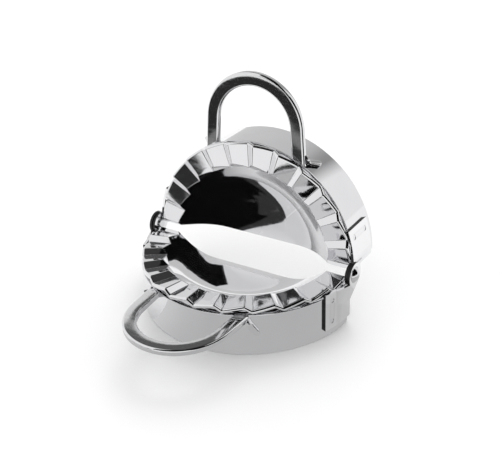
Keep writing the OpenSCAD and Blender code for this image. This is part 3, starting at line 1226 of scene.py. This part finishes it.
@dataclass(frozen=True)
class Mat:
    """A cloth flat on the floor, which shows in the polish of the press only.

    It lies between two azimuths in degrees and two distances in metres from a point on the floor. Its
    brightness is given by points of azimuth and level, where 1 is white. The grey one at the foot of the
    wall is painted shade: it stands for the floor's shadow there, as the wall reflects it.
    """

    name: str
    turns: tuple
    reach: tuple
    levels: tuple
    centre_y: float = 0.0
    height: float = 0.0015
    columns: int = 48

    def build(self) -> bpy.types.Object:
        """Lays the cloth.

        Returns:
            The cloth.
        """
        degrees = np.linspace(*self.turns, self.columns)
        points = [
            (math.sin(t) * r, self.centre_y - math.cos(t) * r, self.height)
            for t in np.radians(degrees)
            for r in self.reach
        ]
        faces = [(2 * c, 2 * c + 2, 2 * c + 3, 2 * c + 1) for c in range(self.columns - 1)]
        mesh = bpy.data.meshes.new(self.name)
        mesh.from_pydata(points, [], faces)
        shades = np.repeat(np.interp(degrees, *zip(*self.levels)), 2).astype(np.float32)
        mesh.attributes.new("shade", "FLOAT", "POINT").data.foreach_set("value", shades)
        return hung_cloth(self.name, mesh)


def hung_cloth(name: str, mesh: bpy.types.Mesh) -> bpy.types.Object:
    """Makes a cloth of the studio that only the polish of the press sees.

    Args:
        name: the cloth's name.
        mesh: its mesh, which carries how bright it is as its shade.

    Returns:
        The cloth.
    """
    cloth = bpy.data.objects.new(name, mesh)
    bpy.context.scene.collection.objects.link(cloth)
    weave = bpy.data.materials.new(name + "_cloth")
    weave.use_nodes = True
    weave.node_tree.nodes.clear()
    s = NodeSketch(weave.node_tree)
    glow = s.node("ShaderNodeEmission")
    glow.inputs["Color"].default_value = (1, 1, 1, 1)
    shade_of = s.node("ShaderNodeAttribute", attribute_name="shade")
    s.feed(glow.inputs["Strength"], shade_of.outputs["Fac"])
    s.feed(s.node("ShaderNodeOutputMaterial").inputs["Surface"], glow.outputs["Emission"])
    mesh.materials.append(weave)
    cloth.visible_camera = False
    cloth.visible_diffuse = False
    cloth.visible_shadow = False
    cloth.visible_transmission = False
    return cloth


@dataclass
class Studio:
    """Pale floor, soft light, the cloths and the camera, in metres, degrees and watts.

    The camera looks against the direction that is called back, and leans by its roll. Its lens is in
    millimetres for a sensor 36 mm wide.
    """

    floor_size: float = 8.0
    floor_colour: tuple = (0.86, 0.86, 0.86)
    world_level: float = 1.05
    lamp_at: tuple = (-0.7, 2.2, 2.6)
    lamp_looks_at: tuple = (0.0, 0.0, 0.03)
    lamp_power: float = 36.0
    lamp_size: float = 2.4
    camera_at: tuple = (0.19063, -0.27887, 0.22878)
    back: tuple = (0.4632, -0.7433, 0.4826)
    roll: float = 2.219
    lens: float = 66.87
    sensor: float = 36.0
    flags: tuple = (
        Flag(
            "front_flag",
            ((-17, 20), (-16, 18), (45, 18), (50, 8), (56, -3), (90, -3)),
            80,
            0.7,
            ((0, 0.004),),
        ),
        Flag("side_flag", ((90, -3), (125, -3)), 48, 0.7, ((0, 0.004),)),
        Flag(
            "top_flag",
            (
                (-180, 45), (-152, 45), (-151, 33), (-118, 33), (-117, 74), (-90, 76),
                (-50, 69), (-40, 63), (-30, 53), (-20, 31), (-17, 20), (-16, 60),
                (125, 60), (126, 64), (150, 62), (151, 45), (180, 45),
            ),
            89.9,
            0.72,
            ((-180, 0.05), (-153, 0.06), (-150, 0.12), (-120, 0.12), (-110, 0.05), (180, 0.05)),
        ),
        Flag("near_flag", ((-29, -3.4), (-12, -3.4)), 1.9, 0.66, ((0, 0.03),)),
        Flag(
            "grey_back",
            ((140, 0.5), (232, 0.5)),
            44,
            0.75,
            (
                (140, 1), (155, 1), (160, 0.6), (164, 0.34), (168, 0.36),
                (176, 0.54), (184, 0.64), (215, 0.7), (232, 0.9),
            ),
        ),
    )
    mats: tuple = (
        Mat("front_mat", (-57.0, -16.0), (0.19, 0.42), ((0, 0.03),)),
        Mat("front_mat_edge", (-57.0, -16.0), (0.16, 0.19), ((0, 0.25),)),
        Mat("far_mat", (-29.0, -12.0), (0.52, 0.66), ((0, 0.03),)),
        Mat("side_mat", (55.0, 122.0), (0.2, 0.69), ((0, 0.04),)),
        Mat("right_mat", (102.0, 128.0), (0.072, 0.10), ((0, 0.6),)),
        Mat("inner_mat", (-45.0, -12.0), (0.11, 0.16), ((0, 0.04),)),
        # Painted shade: a grey sheet round the foot of the wall, seen only in the polish, where the floor
        # lies in the press's shadow; darkest in front, lighter towards both sides.
        Mat(
            "painted_wall_foot_shadow",
            (-34.0, 120.0),
            (0.0488, 0.112),
            ((-34, 0.74), (-14, 0.62), (2, 0.56), (96, 0.56), (108, 0.7), (120, 0.78)),
            centre_y=0.0268,
            height=0.0003,
        ),
    )

    def floor(self) -> bpy.types.Object:
        """Makes the floor, which keeps the shadow and meets the white background.

        Returns:
            The floor.
        """
        half = self.floor_size / 2
        mesh = bpy.data.meshes.new("studio_floor")
        corners = [(-half, -half, 0), (half, -half, 0), (half, half, 0), (-half, half, 0)]
        mesh.from_pydata(corners, [], [(0, 1, 2, 3)])
        floor = bpy.data.objects.new("studio_floor", mesh)
        bpy.context.scene.collection.objects.link(floor)
        paper = bpy.data.materials.new("pale_floor")
        paper.use_nodes = True
        paper.node_tree.nodes.clear()
        s = NodeSketch(paper.node_tree)
        matt = s.node("ShaderNodeBsdfDiffuse")
        matt.inputs["Color"].default_value = (*self.floor_colour, 1)
        s.feed(s.node("ShaderNodeOutputMaterial").inputs["Surface"], matt.outputs["BSDF"])
        mesh.materials.append(paper)
        return floor

    def sky(self) -> None:
        """Fills the studio with even soft light, and shows as white to the camera and the polish."""
        world = bpy.data.worlds.new("studio")
        bpy.context.scene.world = world
        world.use_nodes = True
        world.node_tree.nodes.clear()
        s = NodeSketch(world.node_tree)
        light = s.node("ShaderNodeBackground")
        light.inputs["Color"].default_value = (1, 1, 1, 1)
        level = s.math("MULTIPLY_ADD", s.seen_by_eye(), 1.0 - self.world_level, self.world_level)
        s.feed(light.inputs["Strength"], level)
        s.feed(s.node("ShaderNodeOutputWorld").inputs["Surface"], light.outputs["Background"])

    def lamp(self) -> None:
        """Hangs the soft lamp, which looks at the press."""
        data = bpy.data.lights.new("soft_key", "AREA")
        data.energy, data.size = self.lamp_power, self.lamp_size
        lamp = bpy.data.objects.new("soft_key", data)
        lamp.location = self.lamp_at
        ahead = Vector(self.lamp_looks_at) - Vector(self.lamp_at)
        lamp.rotation_euler = ahead.to_track_quat("-Z", "Y").to_euler()
        lamp.visible_glossy = False
        bpy.context.scene.collection.objects.link(lamp)

    def camera(self) -> None:
        """Sets up the camera at the photograph's angle."""
        back = Vector(self.back).normalized()
        side = Vector((-back.y, back.x, 0)).normalized()
        up = back.cross(side)
        lean = math.radians(self.roll)
        right = side * math.cos(lean) - up * math.sin(lean)
        top = side * math.sin(lean) + up * math.cos(lean)
        data = bpy.data.cameras.new("photo_camera")
        data.lens, data.sensor_width, data.sensor_fit = self.lens, self.sensor, "HORIZONTAL"
        data.clip_start = 0.01
        camera = bpy.data.objects.new("photo_camera", data)
        turned = Matrix((right, top, back)).transposed().to_4x4()
        camera.matrix_world = Matrix.Translation(self.camera_at) @ turned
        bpy.context.scene.collection.objects.link(camera)
        bpy.context.scene.camera = camera

    def build(self) -> None:
        """Sets up everything round the press."""
        self.floor()
        self.sky()
        self.lamp()
        for flag in self.flags:
            flag.build()
        for mat in self.mats:
            mat.build()
        self.camera()
        bpy.context.scene.view_settings.view_transform = "Standard"


# ---------------------------------------------------------------- building


@dataclass
class EmpanadaPress:
    """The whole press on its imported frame."""

    fold: Fold = field(default_factory=Fold)
    finishes: Finishes = field(default_factory=Finishes)
    plate: PleatedPlate = field(default_factory=PleatedPlate)
    band: CutterBand = field(default_factory=CutterBand)
    handle: BentHandle = field(default_factory=BentHandle)
    rivet: DomedRivet = field(default_factory=DomedRivet)
    straps: HingeStraps = field(default_factory=HingeStraps)

    def build(self, nodes: dict) -> None:
        """Builds the pieces in order and reports each one.

        Args:
            nodes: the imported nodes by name.
        """
        for half in Half:
            for maker in (self.plate, self.band, self.handle):
                self.report(maker.build(half, self.fold, self.finishes))
        for side in Side:
            self.report(self.rivet.build(side, self.fold, self.finishes))
        for strap in self.straps.dress(nodes, self.fold, self.finishes):
            self.report(strap)

    def report(self, piece: bpy.types.Object) -> None:
        """Logs what a piece is made of.

        Args:
            piece: the piece.
        """
        LOG.info("%s: %d corners, %d faces", piece.name, len(piece.data.vertices), len(piece.data.polygons))


def main() -> None:
    """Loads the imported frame, builds the press and the studio, and notes the sizes."""
    logging.basicConfig(level=logging.INFO, format="%(message)s")
    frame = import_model()
    EmpanadaPress().build(frame["nodes"])
    Studio().build()


if __name__ == "__main__":
    main()
